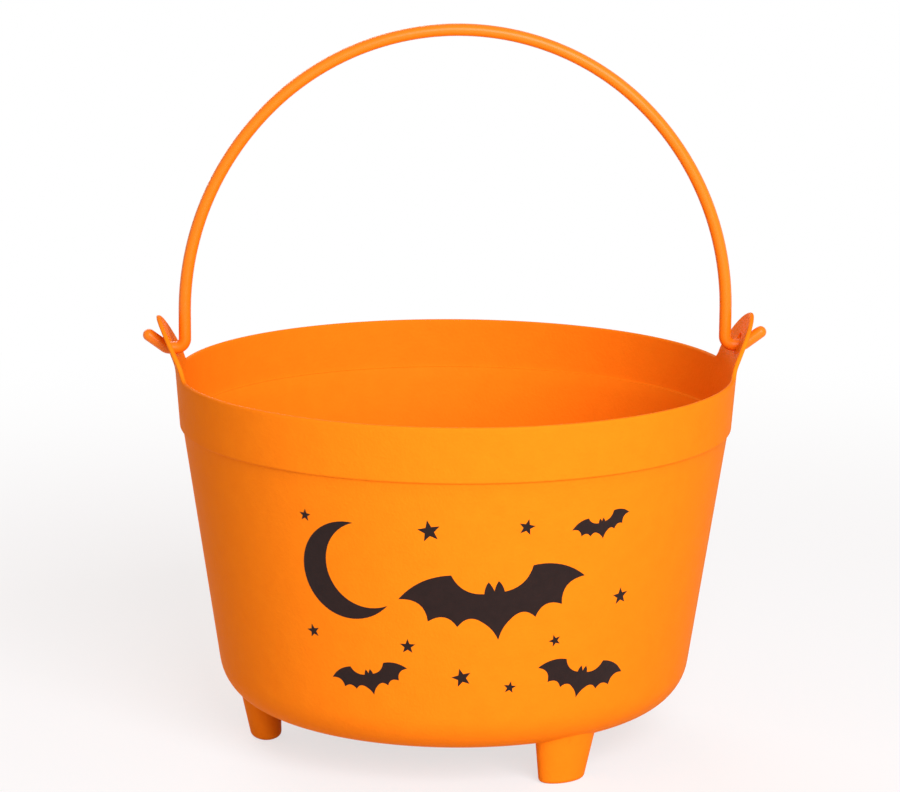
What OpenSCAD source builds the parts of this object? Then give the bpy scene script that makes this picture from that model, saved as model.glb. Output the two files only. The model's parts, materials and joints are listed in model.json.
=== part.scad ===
// Treat cauldron: a moulded tub on three peg feet, and a moulded bail that swings in its ears.
// Millimetres, +Z up. The origin is on the ground below the middle of the tub.
// The ears stand on the X axis and the front of the tub faces -Y.

/* [Tub] */
// Outside diameter of the tub at its rim
rim_d = 200; // [170:1:230]
// Height of the rim above the ground
rim_z = 134.6; // [115:0.1:160]
// Thickness of every moulded wall
wall = 1.6; // [1.2:0.1:2]
// Outward lean of the wall below the band, in degrees
wall_draft = 8.6; // [5:0.1:11]
// Outside radius where the wall turns into the base
corner_r = 17.4; // [12:0.1:22]

/* [Rim band] */
// Height of the raised band below the rim
band_h = 19.6; // [12:0.1:30]
// How far the band stands out from the wall below it
band_step = 1; // [0.6:0.1:1.4]
// Outward lean of the band, in degrees
band_draft = 4.4; // [2:0.1:7]
// Rounding of the band's lower edge
band_edge_r = 0.8; // [0.3:0.1:1]

/* [Ears] */
// Height of an ear above the rim
ear_h = 20.2; // [18:0.1:24]
// Width of an ear where it leaves the rim
ear_w = 39.6; // [34:0.1:46]
// Radius of an ear's two side arcs, which meet at its tip
ear_side_r = 22.4; // [20:0.1:30]
// Radius of the fillets between an ear and the rim
ear_fillet_r = 4.5; // [2:0.1:8]
// Outward lean of an ear, in degrees
ear_lean = 20.8; // [16:0.1:26]
// Outside radius of the bend between the band and an ear
ear_bend_r = 18; // [10:0.5:22]
// Diameter of the eyelet in an ear
eye_d = 6.4; // [5.6:0.1:7.6]
// Height of the eyelet's centre above the rim
eye_h = 9.2; // [8.5:0.1:11]

/* [Feet] */
// Height of the base above the ground
foot_h = 15.2; // [10:0.1:24]
// Number of feet
foot_count = 3; // [3:1:5]
// Diameter of the circle through the middles of the soles
foot_circle_d = 136; // [120:1:144]
// Width of a foot's oval sole, along the wall of the tub
sole_w = 17.6; // [14:0.1:22]
// Depth of a foot's oval sole, across the wall of the tub
sole_t = 11; // [9:0.1:14]
// Rounding of a sole's edge
sole_edge_r = 1.4; // [1:0.1:2.5]
// How much of a foot's rounded end is cut off to leave a level sole
sole_trim = 0.1; // [0.05:0.05:0.3]
// Draft of a foot's inner and outer side, in degrees
foot_draft = 6; // [3:0.1:8]
// Lean of a foot, outwards as it rises, in degrees
foot_lean = 6.8; // [0:0.1:9]

/* [Bail] */
// Diameter of the bail's rod
rod_d = 4.4; // [3.6:0.1:5]
// Height of the arch, from the pivot to the middle of the rod
bail_rise = 113.1; // [90:0.1:140]
// Height above the pivot where a straight leg meets the arch
leg_l = 12.7; // [8:0.1:20]
// Gap between a leg and the ear beside it, at the pivot
leg_gap = 2; // [1.5:0.1:3]
// Radius of the bend from a leg into its hook, at the middle of the rod
hook_bend_r = 3.3; // [2.8:0.1:4.5]
// Rise of a hook's end above level, in degrees
hook_angle = 36; // [20:1:45]
// How far a hook runs level past its ear before it rises
hook_level = 0.45; // [0.4:0.05:1.5]
// Reach of a hook, from the middle of its leg to its end
hook_reach = 14.9; // [14:0.1:18]
// Gap between a hook and the bottom of its eyelet
seat_gap = 0.3; // [0.2:0.05:0.6]

/* [Hidden] */
$fn = 96;
// How far an arc runs past its tangent lines, so that outlines cross cleanly
bite = 0.005;
// How far a cutting solid runs past what it cuts
over = 2;
tub_colour = "#F28C1E";
bail_colour = "#F5961F";

// Heights and radii of the tub's outside
rim_r = rim_d / 2;
base_z = foot_h;
band_z = rim_z - band_h;
collar_z = rim_z + ear_h + over;
corner_z = base_z + corner_r;
corner_x = wall_x(corner_z, 0) - corner_r / cos(wall_draft);

// Radius of the band's face at a height, and of the wall's face, moved in by an inset
function band_x(z, inset) = rim_r - (rim_z - z) * tan(band_draft) - inset / cos(band_draft);
function wall_x(z, inset) =
    band_x(band_z, 0) - band_step - (band_z - z) * tan(wall_draft) - inset / cos(wall_draft);

// Bend from the band into an ear: its centre lies outside the tub
bend_centre = [rim_r + ear_bend_r * cos(band_draft), rim_z - ear_bend_r * sin(band_draft)];
function bend_point(angle, inset) =
    bend_centre + (ear_bend_r + inset) * [-cos(angle), sin(angle)];
// Radius of an ear's face at a height above the bend
function ear_x(z, inset) =
    bend_point(ear_lean, inset).x + (z - bend_point(ear_lean, inset).y) * tan(ear_lean);

// Ear outline, seen along X: each side arc runs from the rim to the tip
ear_half = ear_w / 2;
ear_chord = norm([ear_half, ear_h]);
ear_depth = sqrt(ear_side_r * ear_side_r - ear_chord * ear_chord / 4);
side_centre = [ear_half / 2 - ear_depth * ear_h / ear_chord, ear_h / 2 - ear_depth * ear_half / ear_chord];
fillet_y = side_centre.x + sqrt(pow(ear_side_r + ear_fillet_r, 2) - pow(ear_fillet_r - side_centre.y, 2));

// Bail: the hooks hang in the eyelets and set the places of the legs
function hundredths(size) = round(100 * size) / 100;
eye_z = rim_z + eye_h;
pivot_z = hundredths(eye_z - (eye_d - rod_d) / 2 + seat_gap);
leg_x = hundredths(ear_x(pivot_z, wall) - leg_gap - rod_d / 2);
pin_x = leg_x + hook_bend_r;
elbow_x = hundredths(ear_x(pivot_z, 0) + hook_level);
hook_end_l = (leg_x + hook_reach - rod_d / 2 - elbow_x) / cos(hook_angle);

// Arch of tangent arcs: one at each side up to the break angle, and one over the top
arch_break = 45;
arch_z = pivot_z + leg_l;
arch_tall = bail_rise - leg_l - leg_x;
side_arc_r = hundredths(leg_x + arch_tall / (1 + tan(arch_break) - 1 / cos(arch_break)));
top_arc_r = hundredths(side_arc_r - (side_arc_r - leg_x) / cos(arch_break));

// Half section of the tub, filled from the axis to a face that lies an inset inside its outside
module tub_section(inset, top) {
    edge = max(band_edge_r - inset, 0);
    floor_z = base_z + inset;
    step_z = band_z + inset;
    edge_centre = [band_x(step_z + edge, inset) - edge / cos(band_draft), step_z + edge];
    difference() {
        union() {
            polygon([
                [0, floor_z],
                [corner_x, floor_z],
                [corner_x, corner_z] + (corner_r - inset) * [cos(wall_draft), -sin(wall_draft)],
                [wall_x(step_z, inset), step_z],
                [edge_centre.x, step_z],
                [band_x(step_z + edge, inset), step_z + edge],
                bend_point(band_draft, inset),
                bend_point(ear_lean, inset),
                [ear_x(top, inset), top],
                [0, top]
            ]);
            translate([corner_x, corner_z]) circle(r = corner_r - inset + bite);
            if (edge > 0) translate(edge_centre) circle(r = edge + bite);
        }
        translate(bend_centre) circle(r = ear_bend_r + inset + bite);
    }
}

// Outline of one ear above the rim, with a fillet on each side
module ear_outline() {
    intersection_for (side = [-1, 1])
        translate([side * side_centre.x, side_centre.y]) circle(r = ear_side_r);
    for (side = [-1, 1]) scale([side, 1]) difference() {
        polygon([[0, -over], [fillet_y, -over], [fillet_y, ear_fillet_r], side_centre]);
        translate([fillet_y, ear_fillet_r]) circle(r = ear_fillet_r + bite);
    }
}

// What is cut from the flared collar to leave two ears standing on a level rim
module collar_trim() {
    translate([0, 0, rim_z]) rotate([90, 0, 90]) linear_extrude(height = 2 * rim_d, center = true)
        difference() {
            translate([-rim_d, 0]) square([2 * rim_d, ear_h + 2 * over]);
            ear_outline();
        }
}

// Oval peg foot, or the hollow inside it, leaning outwards on its sole
module peg(inset) {
    top = base_z + corner_r / 2;
    sole_r = sole_t / 2 - inset / cos(foot_draft);
    edge = sole_edge_r * (sole_r / (sole_t / 2));
    edge_x = sole_r + edge * tan(foot_draft) - edge / cos(foot_draft);
    lean = tan(foot_lean);
    middle_t = sole_t / 2 + base_z / 2 * tan(foot_draft);
    stretch = (middle_t * sole_w / sole_t - inset) / (middle_t - inset);
    multmatrix([[1, 0, lean, foot_circle_d / 2], [0, stretch, 0, 0], [0, 0, 1, 0]])
        rotate_extrude() {
            polygon([
                [0, inset],
                [edge_x, inset],
                [edge_x, inset + edge] + edge * [cos(foot_draft), -sin(foot_draft)],
                [sole_r + top * tan(foot_draft), top],
                [0, top]
            ]);
            intersection() {
                translate([edge_x, inset + edge]) circle(r = edge + bite);
                translate([0, inset]) square([sole_w, top]);
            }
        }
}

module feet(inset) {
    for (i = [0 : foot_count - 1]) rotate([0, 0, 180 + i * 360 / foot_count]) peg(inset);
}

// Tub with its rim band, two ears and hollow feet, moulded in one piece, with its soles cut level
module cauldron_tub() {
    color(tub_colour) difference() {
        union() {
            rotate_extrude() tub_section(0, collar_z);
            translate([0, 0, -sole_trim]) feet(0);
        }
        rotate_extrude() tub_section(wall, collar_z + over);
        feet(wall);
        collar_trim();
        translate([0, 0, -over]) cube([2 * rim_d, 2 * rim_d, 2 * over], center = true);
        translate([0, 0, eye_z]) rotate([0, 90, 0]) cylinder(d = eye_d, h = 2 * rim_d, center = true);
    }
}

// Stretch of rod along an arc in the XZ plane, from one angle through a sweep
module rod_arc(radius, from, sweep) {
    rotate([90, 0, 0]) rotate([0, 0, from]) rotate_extrude(angle = sweep)
        translate([radius, 0]) circle(d = rod_d);
}

// Free end of a hook: a straight stretch of rod with a round tip
module hook_tip() {
    rotate_extrude() intersection() {
        square([rod_d, hook_end_l + rod_d]);
        union() {
            square([rod_d / 2, hook_end_l]);
            translate([0, hook_end_l]) circle(d = rod_d + 2 * bite);
        }
    }
}

// Side of the bail, from just past the top of the arch to the tip of the hook
module bail_side() {
    translate([leg_x - side_arc_r, 0, arch_z]) {
        rod_arc(side_arc_r, 0, arch_break);
        rotate([0, -arch_break, 0]) translate([side_arc_r - top_arc_r, 0, 0])
            rod_arc(top_arc_r, 0, arch_break + 1);
    }
    translate([leg_x, 0, pivot_z + hook_bend_r]) cylinder(d = rod_d, h = leg_l - hook_bend_r);
    translate([pin_x, 0, pivot_z + hook_bend_r]) rod_arc(hook_bend_r, 180, 90);
    translate([pin_x, 0, pivot_z]) rotate([0, 90, 0]) cylinder(d = rod_d, h = elbow_x - pin_x);
    translate([elbow_x, 0, pivot_z]) {
        sphere(d = rod_d + 2 * bite);
        rotate([0, 90 - hook_angle, 0]) hook_tip();
    }
}

// Bail, moulded in one piece and sprung into the ears
module bail_handle() {
    color(bail_colour) for (side = [0, 1]) mirror([side, 0, 0]) intersection() {
        bail_side();
        translate([0, -rod_d, 0]) cube([rim_d, 2 * rod_d, pivot_z + bail_rise + rod_d]);
    }
}

cauldron_tub();
bail_handle();
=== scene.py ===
import json
import math

import bpy
from mathutils import Matrix, Vector

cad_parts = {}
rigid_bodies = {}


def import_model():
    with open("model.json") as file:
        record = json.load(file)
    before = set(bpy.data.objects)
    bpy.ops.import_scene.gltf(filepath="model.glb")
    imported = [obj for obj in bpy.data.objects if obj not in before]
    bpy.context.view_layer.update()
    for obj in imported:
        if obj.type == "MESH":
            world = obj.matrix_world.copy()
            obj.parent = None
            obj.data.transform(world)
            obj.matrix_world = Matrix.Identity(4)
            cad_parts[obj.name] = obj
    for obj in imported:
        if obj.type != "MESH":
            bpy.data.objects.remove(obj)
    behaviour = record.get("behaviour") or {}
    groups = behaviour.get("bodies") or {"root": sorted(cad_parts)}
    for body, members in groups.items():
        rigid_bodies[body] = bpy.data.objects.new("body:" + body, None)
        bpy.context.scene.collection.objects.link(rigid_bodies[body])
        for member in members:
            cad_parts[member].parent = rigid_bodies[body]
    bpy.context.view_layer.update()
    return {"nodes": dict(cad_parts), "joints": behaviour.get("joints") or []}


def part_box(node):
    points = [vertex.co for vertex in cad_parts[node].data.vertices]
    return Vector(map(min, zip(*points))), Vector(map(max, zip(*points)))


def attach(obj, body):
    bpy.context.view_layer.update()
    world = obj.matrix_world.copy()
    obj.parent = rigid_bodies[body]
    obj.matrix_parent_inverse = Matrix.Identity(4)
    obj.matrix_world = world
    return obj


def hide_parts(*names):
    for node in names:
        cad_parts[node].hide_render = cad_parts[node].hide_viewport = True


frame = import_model()
print("frame loaded:", sorted(frame["nodes"]))

mm = 0.001
samePoint = 0.01  # millimetres; points closer than this are one
sortPlace = (13.7, 47.3, 89.1)  # points are put in order from here, so that each run merges alike
pivotHeight = frame["joints"][0]["pos_m"][2] / mm
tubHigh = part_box("cauldron_tub")[1] / mm
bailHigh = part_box("bail_handle")[1] / mm


# Small helpers

def linearColour(hexText):  # sRGB to linear, with full alpha
    channels = [int(hexText[i:i + 2], 16) / 255 for i in (1, 3, 5)]
    return [c / 12.92 if c <= 0.04045 else ((c + 0.055) / 1.055) ** 2.4 for c in channels] + [1.0]


def clearSelection():
    if bpy.context.object and bpy.context.object.mode != "OBJECT":
        bpy.ops.object.mode_set(mode="OBJECT")
    bpy.ops.object.select_all(action="DESELECT")


def activate(piece):
    clearSelection()
    piece.select_set(True)
    bpy.context.view_layer.objects.active = piece


def editAll(piece):  # edit mode with everything selected
    activate(piece)
    bpy.ops.object.mode_set(mode="EDIT")
    bpy.ops.mesh.select_all(action="SELECT")


def applyModifier(piece, kind, **settings):
    activate(piece)
    modifier = piece.modifiers.new(kind.lower(), kind)
    for name, value in settings.items():
        setattr(modifier, name, value)
    bpy.ops.object.modifier_apply(modifier=modifier.name)


def combine(piece, tool, operation):  # boolean with another mesh, which is then thrown away
    applyModifier(piece, "BOOLEAN", object=tool, operation=operation, solver="EXACT")
    bpy.data.objects.remove(tool)
    bpy.context.scene.cursor.location = Vector(sortPlace) * mm
    editAll(piece)
    bpy.ops.mesh.sort_elements(type="CURSOR_DISTANCE", elements={"VERT", "EDGE", "FACE"})
    bpy.ops.object.mode_set(mode="OBJECT")
    bpy.context.scene.cursor.location = (0, 0, 0)


def joinPieces(pieces, name):
    activate(pieces[0])
    for piece in pieces:
        piece.select_set(True)
    bpy.ops.object.join()
    pieces[0].name = name
    return pieces[0]


def evenSteps(start, end, steps):  # values after the start, up to the end
    return [start + (end - start) * i / steps for i in range(1, steps + 1)]


def quarterTurn(step, steps):  # angle after some steps of a quarter circle
    return step * math.pi / 2 / steps


def arcPoints(centre, radius, fromAngle, toAngle, steps):  # degrees, both ends included
    angles = [math.radians(a) for a in [fromAngle] + evenSteps(fromAngle, toAngle, steps)]
    return [(centre[0] + radius * math.cos(a), centre[1] + radius * math.sin(a)) for a in angles]


def drawLine(name, points):  # a line of edges, extruded point by point from one vertex
    clearSelection()
    places = [Vector(p) * mm for p in points]
    bpy.ops.mesh.primitive_plane_add(size=mm, location=(0, 0, 0))
    line = bpy.context.object
    line.name = name
    bpy.ops.object.mode_set(mode="EDIT")
    bpy.ops.mesh.merge(type="CENTER")
    bpy.ops.transform.translate(value=places[0])
    for start, end in zip(places, places[1:]):
        bpy.ops.mesh.extrude_region_move(TRANSFORM_OT_translate={"value": end - start})
    bpy.ops.object.mode_set(mode="OBJECT")
    return line


def revolve(line, steps):  # spin a half section round the Z axis and close it
    editAll(line)
    bpy.ops.mesh.spin(steps=steps, angle=math.tau, center=(0, 0, 0), axis=(0, 0, 1))
    bpy.ops.mesh.select_all(action="SELECT")
    bpy.ops.mesh.remove_doubles(threshold=samePoint * mm)
    bpy.ops.mesh.normals_make_consistent(inside=False)
    bpy.ops.object.mode_set(mode="OBJECT")
    return line


def addNode(tree, kind, settings, links=None):  # settings go to sockets where the node has them
    node = tree.nodes.new(kind)
    for name, value in settings.items():
        if isinstance(name, int) or name in node.inputs:
            node.inputs[name].default_value = value
        else:
            setattr(node, name, value)
    for name, source in (links or {}).items():
        tree.links.new(source, node.inputs[name])
    return node


def dress(piece, material):
    piece.data.materials.clear()
    piece.data.materials.append(material)


# Tub: one moulding with a stepped rim band, two flared ears and three hollow feet
# (millimetres and degrees; rings, steps, columns and sides are counts)
tub = {
    "rimHeight": 134.6, "wall": 1.6, "wallDraft": 8.6, "cornerRadius": 17.4, "baseHeight": 15.2,
    "bandHeight": 19.6, "bandStep": 1.0, "bandDraft": 4.4, "bandEdge": 0.8, "stepFillet": 0.25,
    "ledgeRound": 0.45, "columns": 240, "floorRings": 5, "cornerRings": 16, "wallRings": 16,
    "filletRings": 3, "edgeRings": 5, "bandRings": 8, "bandMargin": 2.5, "collarRings": 27,
    "collarSpare": 3.0,
    "earWidth": 39.6, "earSideRadius": 22.4, "earTip": 12.0, "earFillet": 4.5, "earLean": 20.8,
    "earBend": 18.0, "earFilletSteps": 8, "earSideSteps": 26, "earTipSteps": 7,
    "trimSpare": 10.0, "cutReach": 1.3,  # height of the cut above the ears; its reach in rim radii
    "eyeDiameter": 6.4, "eyeHeight": 9.2, "eyeSides": 40, "eyeRound": 0.45, "eyeSteps": 4,
    "rimRound": 0.68, "rimSteps": 5, "cutMerge": 0.25,
    "footCount": 3, "footCircle": 68.0, "soleWidth": 17.6, "soleDepth": 11.0, "soleBevel": 1.36,
    "soleSteps": 5, "footDraft": 6.0, "footLean": 6.8, "footSides": 64, "footRings": 6,
    "footFillet": 0.3, "footFilletSteps": 3, "footJoint": 38.0,  # least angle of a joint to fillet
    "shellMerge": 0.03, "sliver": 0.02, "jointMerge": 0.2, "jointRoom": 0.35, "smoothAngle": 40.0,
}

rimRadius = tubHigh.y
rimHeight = tub["rimHeight"]
earHeight = tubHigh.z - rimHeight
bandBottom = rimHeight - tub["bandHeight"]
bandDraft, wallDraft = math.radians(tub["bandDraft"]), math.radians(tub["wallDraft"])
earLean = math.radians(tub["earLean"])
bendCentre = (rimRadius + tub["earBend"] * math.cos(bandDraft),
              rimHeight - tub["earBend"] * math.sin(bandDraft))


def bandFace(z, inset):  # radius of the band's face at a height, this deep in the wall
    return rimRadius - (rimHeight - z) * math.tan(bandDraft) - inset / math.cos(bandDraft)


def wallFace(z, inset):
    top = bandFace(bandBottom, 0) - tub["bandStep"]
    return top - (bandBottom - z) * math.tan(wallDraft) - inset / math.cos(wallDraft)


def earFace(z, inset):  # the straight part of the ears, above their bend
    bendEnd = 180 - tub["earLean"]
    endX, endZ = arcPoints(bendCentre, tub["earBend"] + inset, bendEnd, bendEnd, 1)[0]
    return endX + (z - endZ) * math.tan(earLean)


def collarFace(z, inset):  # the band's own cone up to the rim, then the ears' bend and lean
    if z <= rimHeight + inset * math.sin(bandDraft):
        return bandFace(z, inset)
    bend = tub["earBend"] + inset
    if z < bendCentre[1] + bend * math.sin(earLean):
        return bendCentre[0] - math.sqrt(bend ** 2 - (z - bendCentre[1]) ** 2)
    return earFace(z, inset)


def tubSection(inset):  # from the middle of the base up to a straight collar for the ears
    floor = tub["baseHeight"] + inset
    cornerHeight = tub["baseHeight"] + tub["cornerRadius"]
    cornerX = wallFace(cornerHeight, 0) - tub["cornerRadius"] / math.cos(wallDraft)
    step, fillet = bandBottom + inset, tub["stepFillet"]
    edge = tub["ledgeRound"] if inset else tub["bandEdge"]
    edgeCentre = (bandFace(step + edge, inset) - edge / math.cos(bandDraft), step + edge)
    collarTop = tubHigh.z + tub["collarSpare"]
    points = [(cornerX * i / tub["floorRings"], floor) for i in range(tub["floorRings"])]
    points += arcPoints((cornerX, cornerHeight), tub["cornerRadius"] - inset,
                        -90, -tub["wallDraft"], tub["cornerRings"])
    points += [(wallFace(z, inset), z)
               for z in evenSteps(points[-1][1], step - fillet, tub["wallRings"])]
    points += arcPoints((wallFace(step, inset) + fillet, step - fillet), fillet,
                        180, 90, tub["filletRings"])[1:]
    points += arcPoints(edgeCentre, edge, -90, -tub["bandDraft"], tub["edgeRings"])
    heights = evenSteps(points[-1][1], rimHeight - tub["bandMargin"], tub["bandRings"])
    heights += [rimHeight] + evenSteps(rimHeight, collarTop, tub["collarRings"])
    points += [(bandFace(z, inset), z) for z in heights]
    points.append((0, collarTop + inset))
    start = math.pi / tub["columns"]  # half a column round, so that none runs into an ear's tip
    return [(x * math.cos(start), x * math.sin(start), z) for x, z in points]


def makePeg(name, inset):  # a leaning oval peg, or the hollow inside it
    draftTan = math.tan(math.radians(tub["footDraft"]))
    leanTan = math.tan(math.radians(tub["footLean"]))
    height = tub["baseHeight"] + tub["cornerRadius"] / 2 - inset
    soleRadius = tub["soleDepth"] / 2 - inset + inset * draftTan
    middle = tub["soleDepth"] / 2 + tub["baseHeight"] / 2 * draftTan
    stretch = (middle * tub["soleWidth"] / tub["soleDepth"] - inset) / (middle - inset)
    clearSelection()
    bpy.ops.mesh.primitive_cone_add(vertices=tub["footSides"], radius1=soleRadius * mm,
                                    radius2=(soleRadius + height * draftTan) * mm,
                                    depth=height * mm, location=(0, 0, (inset + height / 2) * mm))
    peg = bpy.context.object
    peg.name = name
    bpy.ops.object.transform_apply(location=True)
    for v in peg.data.vertices:
        v.co.x = v.co.x + tub["footCircle"] * mm + v.co.z * leanTan
        v.co.y *= stretch
    bpy.ops.object.mode_set(mode="EDIT")
    for rise in evenSteps(0, height / 2, tub["footRings"]):  # level rings, up to the base
        bpy.ops.mesh.select_all(action="SELECT")
        bpy.ops.mesh.bisect(plane_co=(0, 0, (inset + rise) * mm), plane_no=(0, 0, 1))
    bpy.ops.mesh.select_all(action="DESELECT")
    bpy.ops.object.mode_set(mode="OBJECT")
    soleTop = (inset + samePoint) * mm
    for e in peg.data.edges:  # the rim of the sole
        e.select = all(peg.data.vertices[i].co.z < soleTop for i in e.vertices)
    bpy.ops.object.mode_set(mode="EDIT")
    bpy.ops.mesh.select_mode(type="EDGE")
    bpy.ops.mesh.bevel(offset=tub["soleBevel"] * mm, segments=tub["soleSteps"], affect="EDGES")
    bpy.ops.mesh.select_mode(type="VERT")
    bpy.ops.object.mode_set(mode="OBJECT")
    return peg


def makeFeet(name, inset):
    pegs = []
    for i in range(tub["footCount"]):
        peg = makePeg(f"{name}{i}", inset)
        peg.rotation_euler.z = math.pi + i * math.tau / tub["footCount"]  # the first on the left
        bpy.ops.object.transform_apply(rotation=True)
        pegs.append(peg)
    return joinPieces(pegs, name)


def earTrim():  # cut from the collar to leave two ears on a level rim, lower by the rim's rounding
    half = tub["earWidth"] / 2
    radius, fillet, edge = tub["earSideRadius"], tub["earFillet"], tub["rimRound"]
    chord = math.hypot(half, earHeight)
    depth = math.sqrt(radius ** 2 - chord ** 2 / 4)
    side = (half / 2 - depth * earHeight / chord, earHeight / 2 - depth * half / chord)
    filletY = side[0] + math.sqrt((radius + fillet) ** 2 - (fillet - side[1]) ** 2)
    joint = math.degrees(math.atan2(fillet - side[1], filletY - side[0]))
    tipReach = radius - tub["earTip"]
    tip = math.degrees(math.acos(-side[0] / tipReach))
    tipCentre = (0, side[1] + tipReach * math.sin(math.radians(tip)))
    rise = arcPoints((filletY, fillet), fillet + edge, 270, 180 + joint, tub["earFilletSteps"])
    rise += arcPoints(side, radius - edge, joint, tip, tub["earSideSteps"])[1:]
    top = arcPoints(tipCentre, tub["earTip"] - edge, tip, 180 - tip, tub["earTipSteps"])[1:-1]
    reach, high = rimRadius * tub["cutReach"], earHeight + tub["trimSpare"]
    outline = [(reach, -edge)] + rise + top + [(-y, z) for y, z in reversed(rise)]
    outline += [(-reach, -edge), (-reach, high), (reach, high)]
    trim = drawLine("earTrim", [(-reach, y, rimHeight + z) for y, z in outline])
    editAll(trim)
    bpy.ops.mesh.edge_face_add()
    bpy.ops.mesh.extrude_region_move(TRANSFORM_OT_translate={"value": (2 * reach * mm, 0, 0)})
    bpy.ops.mesh.select_all(action="SELECT")
    bpy.ops.mesh.normals_make_consistent(inside=False)
    bpy.ops.object.mode_set(mode="OBJECT")
    return trim


def roundCut(shell, radius, steps, isCut):  # raise a strip of cut faces to round both its edges
    flat = 0.001  # the cuts run along X, so their faces have next to no slope that way
    activate(shell)
    bpy.ops.object.mode_set(mode="EDIT")
    bpy.ops.mesh.select_mode(type="FACE")
    bpy.ops.mesh.select_all(action="DESELECT")
    bpy.ops.object.mode_set(mode="OBJECT")
    for face in shell.data.polygons:
        face.select = abs(face.normal.x) < flat and isCut(face.center / mm)
    bpy.ops.object.mode_set(mode="EDIT")
    bpy.ops.mesh.remove_doubles(threshold=tub["cutMerge"] * mm)  # no short steps along the cut
    for i in range(steps):
        before, now = quarterTurn(i, steps), quarterTurn(i + 1, steps)
        bpy.ops.mesh.inset(thickness=radius * (math.cos(before) - math.cos(now)) * mm,
                           depth=radius * (math.sin(now) - math.sin(before)) * mm)
    bpy.ops.mesh.select_mode(type="VERT")
    bpy.ops.object.mode_set(mode="OBJECT")


def leanEars(shell):
    for v in shell.data.vertices:
        x, y, z = v.co / mm
        if z > rimHeight:
            depth = (bandFace(z, 0) - math.hypot(x, y)) * math.cos(bandDraft)
            v.co.x = math.copysign(math.sqrt(collarFace(z, depth) ** 2 - y ** 2), x) * mm


def clearFootJoints(shell):  # no short edges where the feet meet the base, so that the fillet fits
    editAll(shell)
    bpy.ops.mesh.remove_doubles(threshold=tub["shellMerge"] * mm)
    bpy.ops.mesh.dissolve_degenerate(threshold=tub["sliver"] * mm)
    bpy.ops.mesh.select_mode(type="EDGE")
    bpy.ops.mesh.select_all(action="DESELECT")
    bpy.ops.mesh.edges_select_sharp(sharpness=math.radians(tub["footJoint"]))
    bpy.ops.mesh.select_mode(type="VERT")
    bpy.ops.mesh.remove_doubles(threshold=tub["jointMerge"] * mm)
    bpy.ops.mesh.select_more()
    bpy.ops.mesh.remove_doubles(threshold=tub["jointRoom"] * mm)
    bpy.ops.mesh.dissolve_degenerate(threshold=tub["sliver"] * mm)
    bpy.ops.object.mode_set(mode="OBJECT")


def makeTub():
    shell = revolve(drawLine("cauldronTub", tubSection(0)), tub["columns"])
    combine(shell, makeFeet("peg", 0), "UNION")
    hollow = revolve(drawLine("tubHollow", tubSection(tub["wall"])), tub["columns"])
    combine(hollow, makeFeet("pegHollow", tub["wall"]), "UNION")
    combine(shell, hollow, "DIFFERENCE")
    combine(shell, earTrim(), "DIFFERENCE")
    cutLevel = rimHeight - tub["rimRound"] - samePoint
    roundCut(shell, tub["rimRound"], tub["rimSteps"], lambda spot: spot.z > cutLevel)
    leanEars(shell)
    eyeZ, eyeRadius = rimHeight + tub["eyeHeight"], tub["eyeDiameter"] / 2 + tub["eyeRound"]
    clearSelection()
    bpy.ops.mesh.primitive_cylinder_add(vertices=tub["eyeSides"], radius=eyeRadius * mm,
                                        depth=2 * rimRadius * tub["cutReach"] * mm,
                                        location=(0, 0, eyeZ * mm), rotation=(0, math.pi / 2, 0))
    combine(shell, bpy.context.object, "DIFFERENCE")
    roundCut(shell, tub["eyeRound"], tub["eyeSteps"],
             lambda spot: math.hypot(spot.y, spot.z - eyeZ) < eyeRadius + samePoint)
    clearFootJoints(shell)
    applyModifier(shell, "BEVEL", width=tub["footFillet"] * mm, segments=tub["footFilletSteps"],
                  limit_method="ANGLE", angle_limit=math.radians(tub["footJoint"]),
                  use_clamp_overlap=False, loop_slide=False)
    bpy.ops.object.shade_smooth_by_angle(angle=math.radians(tub["smoothAngle"]))
    return shell


tubPiece = makeTub()
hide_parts("cauldron_tub")
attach(tubPiece, "tub")
print("tub modelled:", len(tubPiece.data.polygons), "faces")

# Bail: one round rod, arched over the tub and hooked through both ears
# (millimetres and degrees; steps, rings and sides are counts)
bail = {
    "rod": 4.4, "sides": 48, "seamHeight": 0.05, "archBreak": 45, "archSteps": 48,
    "legLength": 12.7, "legSteps": 6, "hookReach": 14.9, "hookBend": 3.3, "hookSteps": 18,
    "hookLevel": 0.45, "levelSteps": 2, "elbowBend": 2.4, "elbowSteps": 8, "hookAngle": 36,
    "tipSteps": 4, "tipRings": 9,
}


def bendRod(x, z, angle, steps):  # carry the rod's open end round a centre in the arch's plane
    bpy.ops.mesh.spin(steps=steps, angle=math.radians(angle), center=(x * mm, 0, z * mm),
                      axis=(0, -1, 0))


def runRod(length, angle, steps):  # carry the rod's open end straight on
    way = Vector((math.cos(math.radians(angle)), 0, math.sin(math.radians(angle))))
    for _ in range(steps):
        bpy.ops.mesh.extrude_region_move(
            TRANSFORM_OT_translate={"value": way * length * mm / steps})


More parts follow.
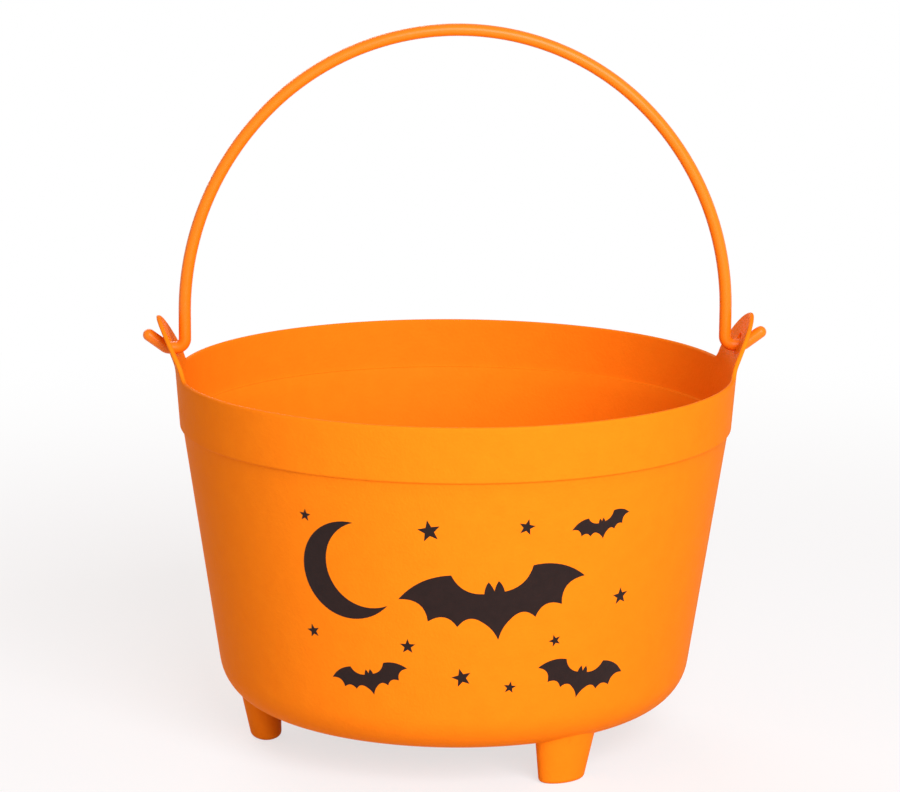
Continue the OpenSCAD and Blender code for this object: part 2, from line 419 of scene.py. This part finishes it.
def makeBail():
    radius = bail["rod"] / 2
    legX = bailHigh.x - bail["hookReach"]
    topZ = bailHigh.z - radius
    archZ = pivotHeight + bail["legLength"]
    turn = math.radians(bail["archBreak"])
    sideArc = legX + (topZ - archZ - legX) / (1 + math.tan(turn) - 1 / math.cos(turn))
    topArc = sideArc - (sideArc - legX) / math.cos(turn)
    hookAngle, hookTurn = bail["hookAngle"], math.radians(bail["hookAngle"])
    elbowX = earFace(pivotHeight, 0) + bail["hookLevel"]
    elbowRun = bail["elbowBend"] * math.tan(hookTurn / 2)
    tipX = bailHigh.x - radius
    tipRun = (tipX - elbowX) / math.cos(hookTurn) - elbowRun

    clearSelection()
    bpy.ops.mesh.primitive_circle_add(vertices=bail["sides"], radius=radius * mm,
                                      location=(0, 0, topZ * mm), rotation=(0, math.pi / 2, 0))
    rod = bpy.context.object
    rod.name = "bailRod"
    bpy.ops.object.transform_apply(location=True, rotation=True)
    middle = Vector((0, 0, topZ * mm))
    for v in rod.data.vertices:  # the two points left on the mould's parting line make its ridge
        if abs(v.co.y) > samePoint * mm:
            v.co = middle + (v.co - middle) * (1 - bail["seamHeight"] / radius)
    bpy.ops.object.mode_set(mode="EDIT")
    bpy.ops.mesh.select_all(action="SELECT")
    bendRod(0, topZ - topArc, bail["archBreak"], bail["archSteps"])
    bendRod(legX - sideArc, archZ, bail["archBreak"], bail["archSteps"])
    runRod(bail["legLength"] - bail["hookBend"], -90, bail["legSteps"])
    bendRod(legX + bail["hookBend"], pivotHeight + bail["hookBend"], -90, bail["hookSteps"])
    runRod(elbowX - elbowRun - legX - bail["hookBend"], 0, bail["levelSteps"])
    bendRod(elbowX - elbowRun, pivotHeight + bail["elbowBend"], -hookAngle, bail["elbowSteps"])
    runRod(tipRun, hookAngle, bail["tipSteps"])
    way = Vector((math.cos(hookTurn), 0, math.sin(hookTurn)))
    tipMiddle = Vector((tipX, 0, pivotHeight + (tipX - elbowX) * math.tan(hookTurn)))
    for i in range(1, bail["tipRings"]):  # a round end, ring by ring
        before, now = quarterTurn(i - 1, bail["tipRings"]), quarterTurn(i, bail["tipRings"])
        runRod(radius * (math.sin(now) - math.sin(before)), hookAngle, 1)
        bpy.ops.transform.resize(value=[math.cos(now) / math.cos(before)] * 3,
                                 center_override=(tipMiddle + way * radius * math.sin(now)) * mm)
    runRod(radius * (1 - math.sin(now)), hookAngle, 1)
    bpy.ops.mesh.merge(type="CENTER")
    bpy.ops.object.mode_set(mode="OBJECT")
    applyModifier(rod, "MIRROR", use_axis=(True, False, False), merge_threshold=samePoint * mm)
    editAll(rod)
    bpy.ops.mesh.normals_make_consistent(inside=False)
    bpy.ops.object.mode_set(mode="OBJECT")
    bpy.ops.object.shade_smooth()
    return rod


bailPiece = makeBail()
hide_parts("bail_handle")
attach(bailPiece, "bail")
print("bail modelled:", len(bailPiece.data.polygons), "faces")

# Print on the front: bats, a crescent and stars in one dark ink; each motif has its angle
# round the tub in degrees, its height and its width in millimetres, and its tilt in degrees
frontPrint = {
    "bats": [(5.0, 72, 64, 6), (26.5, 42, 35, -10), (28.0, 97, 23, 10), (-23.0, 43, 28, 12)],
    "moons": [(-26.5, 82, 35, 20)],
    "stars": [(-9.0, 98, 8, 10), (11.0, 99, 6, -12), (-14.0, 56, 5.5, 0), (-2.0, 45, 7, 15),
              (9.0, 41, 4.5, -8), (35.0, 70, 6.5, 6), (19.0, 57, 4.5, 20), (-36.5, 58, 5, 12),
              (-36.0, 100, 4.5, -5)],
    "strip": 1.0, "start": 10.0, "gap": 0.03, "inkThickness": 0.05,
    "moonHorn": 62, "moonBite": 0.42, "moonSteps": (40, 32), "starPoints": 5, "starWaist": 0.42,
}


def bulge(start, end, rise, steps):  # arc between two points, bowed left by a share of its length
    (ax, ay), (bx, by) = start, end
    points = []
    for t in evenSteps(0, 1, steps):
        bow = 4 * rise * t * (1 - t)
        points.append((ax + (bx - ax) * t - (by - ay) * bow, ay + (by - ay) * t + (bx - ax) * bow))
    return points


def batOutline():  # half a bat, from the dip between its ears to its tail, then mirrored; 2 wide
    corners = [  # place, bow of the edge that leads there, steps
        ((0.0, 0.14), 0, 1), ((0.055, 0.25), 0.05, 4), ((0.11, 0.12), 0.08, 4),
        ((0.44, 0.37), -0.16, 10), ((1.0, 0.14), 0.12, 12), ((0.72, -0.13), -0.24, 8),
        ((0.42, -0.22), -0.26, 8), ((0.15, -0.20), -0.26, 8), ((0.0, -0.42), -0.08, 6),
    ]
    half = [corners[0][0]]
    for (start, _, _), (end, rise, steps) in zip(corners, corners[1:]):
        half += bulge(start, end, rise, steps)
    return half + [(-x, y) for x, y in reversed(half[1:-1])]


def moonOutline():  # crescent between two arcs; about 2 tall
    horn, bite = frontPrint["moonHorn"], frontPrint["moonBite"]
    outerSteps, innerSteps = frontPrint["moonSteps"]
    outer = arcPoints((0, 0), 1.0, horn, 360 - horn, outerSteps)
    hornX, hornY = outer[0]
    hornAngle = math.degrees(math.atan2(hornY, hornX - bite))
    inner = math.hypot(hornX - bite, hornY)
    return outer + arcPoints((bite, 0), inner, 360 - hornAngle, hornAngle, innerSteps)[1:-1]


def starOutline():
    turn = math.pi / frontPrint["starPoints"]
    return [(r * math.sin(turn * i), r * math.cos(turn * i))
            for i, r in enumerate([1.0, frontPrint["starWaist"]] * frontPrint["starPoints"])]


def printMotif(name, outline, angle, height, width, tilt):
    turnCos, turnSin = math.cos(math.radians(tilt)), math.sin(math.radians(tilt))
    size = width / 2
    start = -rimRadius - frontPrint["start"]  # in front of the tub, and then laid on it
    motif = drawLine(name, [(size * (x * turnCos - z * turnSin), start,
                             height + size * (x * turnSin + z * turnCos)) for x, z in outline])
    editAll(motif)
    bpy.ops.mesh.edge_face_add()
    strips = math.ceil(size / frontPrint["strip"])
    for i in range(-strips, strips):  # narrow strips, so that the film can follow the wall
        bpy.ops.mesh.select_all(action="SELECT")
        bpy.ops.mesh.bisect(plane_co=((i + 0.5) * frontPrint["strip"] * mm, 0, 0),
                            plane_no=(1, 0, 0))
    bpy.ops.object.mode_set(mode="OBJECT")
    motif.rotation_euler.z = math.radians(angle)
    applyModifier(motif, "SHRINKWRAP", target=tubPiece, wrap_method="PROJECT",
                  wrap_mode="ABOVE_SURFACE", use_project_x=False, use_project_y=True,
                  use_project_z=False, use_positive_direction=True,
                  use_negative_direction=False, offset=frontPrint["gap"] * mm)
    bpy.ops.object.transform_apply(rotation=True)
    outward = sum(f.normal.xy.dot(f.center.xy) * f.area for f in motif.data.polygons)
    if outward < 0:
        editAll(motif)
        bpy.ops.mesh.flip_normals()
        bpy.ops.object.mode_set(mode="OBJECT")
    applyModifier(motif, "SOLIDIFY", thickness=frontPrint["inkThickness"] * mm, offset=1)
    return motif


def makePrint():
    motifs = []
    for kind, outline in (("bats", batOutline()), ("moons", moonOutline()),
                          ("stars", starOutline())):
        for i, place in enumerate(frontPrint[kind]):
            motifs.append(printMotif(f"{kind}{i}", outline, *place))
    return joinPieces(motifs, "frontPrint")


printPiece = makePrint()
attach(printPiece, "tub")
print("print laid on:", len(printPiece.data.polygons), "faces")

# Moulded polypropylene from a spark-eroded mould: half matt, with a fine grain, slight clouds
# of colour from the pigment and hardly any gloss; the grain is drawn coarser than the real
# one, to show (grain, grainDepth and cloud in millimetres)
mouldGrain = {"grain": 1.1, "grainDetail": 2.0, "grainRoughness": 0.55, "bump": 0.6}
tubPlastic = {
    **mouldGrain, "colour": "#FA8818", "cloudColour": "#F68015", "cloud": 7.0, "cloudDetail": 3.0,
    "cloudRoughness": 0.6, "grainDepth": 0.25, "roughness": 0.48, "uneven": 0.06, "ior": 1.49,
    "gloss": 0.008,
}


def grainedSurface(name, finish):  # two tones in soft clouds, and the mould's grain as a bump
    material = bpy.data.materials.new(name)
    material.use_nodes = True
    tree = material.node_tree
    shader = tree.nodes["Principled BSDF"]
    place = addNode(tree, "ShaderNodeTexCoord", {}).outputs["Object"]
    cloud = addNode(tree, "ShaderNodeTexNoise",
                    {"Scale": 1 / (finish["cloud"] * mm), "Detail": finish["cloudDetail"],
                     "Roughness": finish["cloudRoughness"]}, {"Vector": place})
    tone = addNode(tree, "ShaderNodeMix",
                   {"data_type": "RGBA", 6: linearColour(finish["colour"]),
                    7: linearColour(finish["cloudColour"])}, {0: cloud.outputs["Fac"]})
    grain = addNode(tree, "ShaderNodeTexNoise",
                    {"Scale": 1 / (finish["grain"] * mm), "Detail": finish["grainDetail"],
                     "Roughness": finish["grainRoughness"]}, {"Vector": place})
    bump = addNode(tree, "ShaderNodeBump",
                   {"Strength": finish["bump"], "Distance": finish["grainDepth"] * mm},
                   {"Height": grain.outputs["Fac"]})
    tree.links.new(tone.outputs[2], shader.inputs["Base Color"])
    tree.links.new(bump.outputs["Normal"], shader.inputs["Normal"])
    shader.inputs["Roughness"].default_value = finish["roughness"]
    shader.inputs["Specular IOR Level"].default_value = finish["gloss"]
    return material, grain


def makePlastic(name, plastic):  # the grain also makes it unevenly rough
    material, grain = grainedSurface(name, plastic)
    tree = material.node_tree
    shader = tree.nodes["Principled BSDF"]
    rough = addNode(tree, "ShaderNodeMapRange",
                    {"To Min": plastic["roughness"] - plastic["uneven"],
                     "To Max": plastic["roughness"] + plastic["uneven"]},
                    {"Value": grain.outputs["Fac"]})
    tree.links.new(rough.outputs["Result"], shader.inputs["Roughness"])
    shader.inputs["IOR"].default_value = plastic["ior"]
    return material


dress(tubPiece, makePlastic("mouldedPolypropylene", tubPlastic))

# The bail came from a polished mould: the same plastic, smoother, with a soft streak of gloss
bailPlastic = {
    **tubPlastic, "colour": "#F68013", "cloudColour": "#F37A11", "cloud": 9.0, "grain": 1.6,
    "grainDepth": 0.02, "roughness": 0.33, "gloss": 0.22,
}
dress(bailPiece, makePlastic("polishedPolypropylene", bailPlastic))

# Screen-printing ink: a thin dark brown film, half matt, a little uneven where it dried,
# which follows the grain of the plastic under it
ink = {
    **mouldGrain, "colour": "#1D1211", "cloudColour": "#2B1B19", "cloud": 3.0, "cloudDetail": 4.0,
    "cloudRoughness": 0.5, "grainDepth": 0.2, "roughness": 0.5, "gloss": 0.15,
}
inkFilm, _ = grainedSurface("screenInk", ink)
dress(printPiece, inkFilm)
print("materials set")

# Camera at the photograph's angle (fitted: degrees, millimetres, pixels of the 900 wide frame)
shot = {
    "azimuth": -3.722, "elevation": 11.608, "roll": 0.412, "distance": 1367.9, "aimSide": -2.052,
    "aimHeight": 124.926, "focalPixels": 3822.0, "frameWidth": 900, "sensor": 36.0,
}


def directionFrom(azimuth, elevation):  # degrees, from the middle of the front towards the right
    a, e = math.radians(azimuth), math.radians(elevation)
    return Vector((math.sin(a) * math.cos(e), -math.cos(a) * math.cos(e), math.sin(e)))


def placeCamera():
    back = directionFrom(shot["azimuth"], shot["elevation"])
    right = directionFrom(shot["azimuth"] + 90, 0)
    aim = Vector((0, 0, shot["aimHeight"])) + right * shot["aimSide"]
    turn = Matrix((right, back.cross(right), back)).transposed()
    roll = Matrix.Rotation(math.radians(shot["roll"]), 3, "Z")
    bpy.ops.object.camera_add(location=(aim + back * shot["distance"]) * mm,
                              rotation=(turn @ roll).to_euler())
    camera = bpy.context.object
    camera.data.sensor_width = shot["sensor"]
    camera.data.lens = shot["focalPixels"] * shot["sensor"] / shot["frameWidth"]
    bpy.context.scene.camera = camera


clearSelection()
placeCamera()

# Studio: a white floor, a soft key light from the right of the camera, a weaker one from behind
# and an even, slightly warm fill (metres; floorWhite is the floor's least share of plain white)
studio = {
    "floorSize": 12.0, "floorSeen": "#F0F7FF", "floorBounce": "#E0E0E0", "floorWhite": 0.68,
    "shadowReach": 0.3, "whiteFrom": 0.75, "ambient": 0.42, "fillColour": "#FFDCC8",
    "lightAim": 0.12,
}
softboxes = {  # azimuth from the front, elevation, distance, size, power
    "keyLight": (16.0, 25.0, 1.5, 0.9, 25.5),
    "backLight": (197.0, 22.0, 1.6, 1.0, 11.0),
}


def seenDirectly(tree):  # 1 where a ray from the camera, a reflection or a clear piece looks
    path = addNode(tree, "ShaderNodeLightPath", {})
    seen = addNode(tree, "ShaderNodeMath", {"operation": "MAXIMUM"},
                   {0: path.outputs["Is Camera Ray"], 1: path.outputs["Is Glossy Ray"]})
    return addNode(tree, "ShaderNodeMath", {"operation": "MAXIMUM"},
                   {0: seen.outputs[0], 1: path.outputs["Is Transmission Ray"]}).outputs[0]


def makePaper():  # matt paper that keeps the shadow near the object and turns white further out
    paper = bpy.data.materials.new("mattPaper")
    paper.use_nodes = True
    tree = paper.node_tree
    tree.nodes.remove(tree.nodes["Principled BSDF"])
    seen = seenDirectly(tree)
    tone = addNode(tree, "ShaderNodeMix",
                   {"data_type": "RGBA", 6: linearColour(studio["floorBounce"]),
                    7: linearColour(studio["floorSeen"])}, {0: seen})
    matt = addNode(tree, "ShaderNodeBsdfDiffuse", {}, {"Color": tone.outputs[2]})
    white = addNode(tree, "ShaderNodeEmission", {"Strength": 1.0})
    spot = addNode(tree, "ShaderNodeTexCoord", {})
    away = addNode(tree, "ShaderNodeVectorMath", {"operation": "LENGTH"},
                   {0: spot.outputs["Object"]})
    fade = addNode(tree, "ShaderNodeMapRange",
                   {"interpolation_type": "SMOOTHSTEP", "From Min": studio["shadowReach"],
                    "From Max": studio["whiteFrom"], "To Min": studio["floorWhite"],
                    "To Max": 1.0}, {"Value": away.outputs["Value"]})
    share = addNode(tree, "ShaderNodeMath", {"operation": "MULTIPLY"},
                    {0: seen, 1: fade.outputs["Result"]})
    blend = addNode(tree, "ShaderNodeMixShader", {},
                    {0: share.outputs[0], 1: matt.outputs[0], 2: white.outputs[0]})
    tree.links.new(blend.outputs[0], tree.nodes["Material Output"].inputs["Surface"])
    return paper


def lightWorld():  # even fill on the object, plain white where it is seen
    world = bpy.data.worlds.new("studio")
    bpy.context.scene.world = world
    world.use_nodes = True
    tree = world.node_tree
    seen = seenDirectly(tree)
    level = addNode(tree, "ShaderNodeMapRange", {"To Min": studio["ambient"], "To Max": 1.0},
                    {"Value": seen})
    tone = addNode(tree, "ShaderNodeMix",
                   {"data_type": "RGBA", 6: linearColour(studio["fillColour"]),
                    7: (1, 1, 1, 1)}, {0: seen})
    tree.links.new(tone.outputs[2], tree.nodes["Background"].inputs["Color"])
    tree.links.new(level.outputs["Result"], tree.nodes["Background"].inputs["Strength"])


clearSelection()
bpy.ops.mesh.primitive_plane_add(size=studio["floorSize"])
floor = bpy.context.object
floor.name = "studioFloor"
dress(floor, makePaper())
for name, (azimuth, elevation, distance, size, power) in softboxes.items():
    way = directionFrom(azimuth, elevation)
    bpy.ops.object.light_add(type="AREA",
                             location=Vector((0, 0, studio["lightAim"])) + way * distance,
                             rotation=way.to_track_quat("Z", "Y").to_euler())
    softbox = bpy.context.object
    softbox.name = name
    softbox.data.size = size
    softbox.data.energy = power
lightWorld()
bpy.context.scene.view_settings.view_transform = "Standard"
print("studio set")
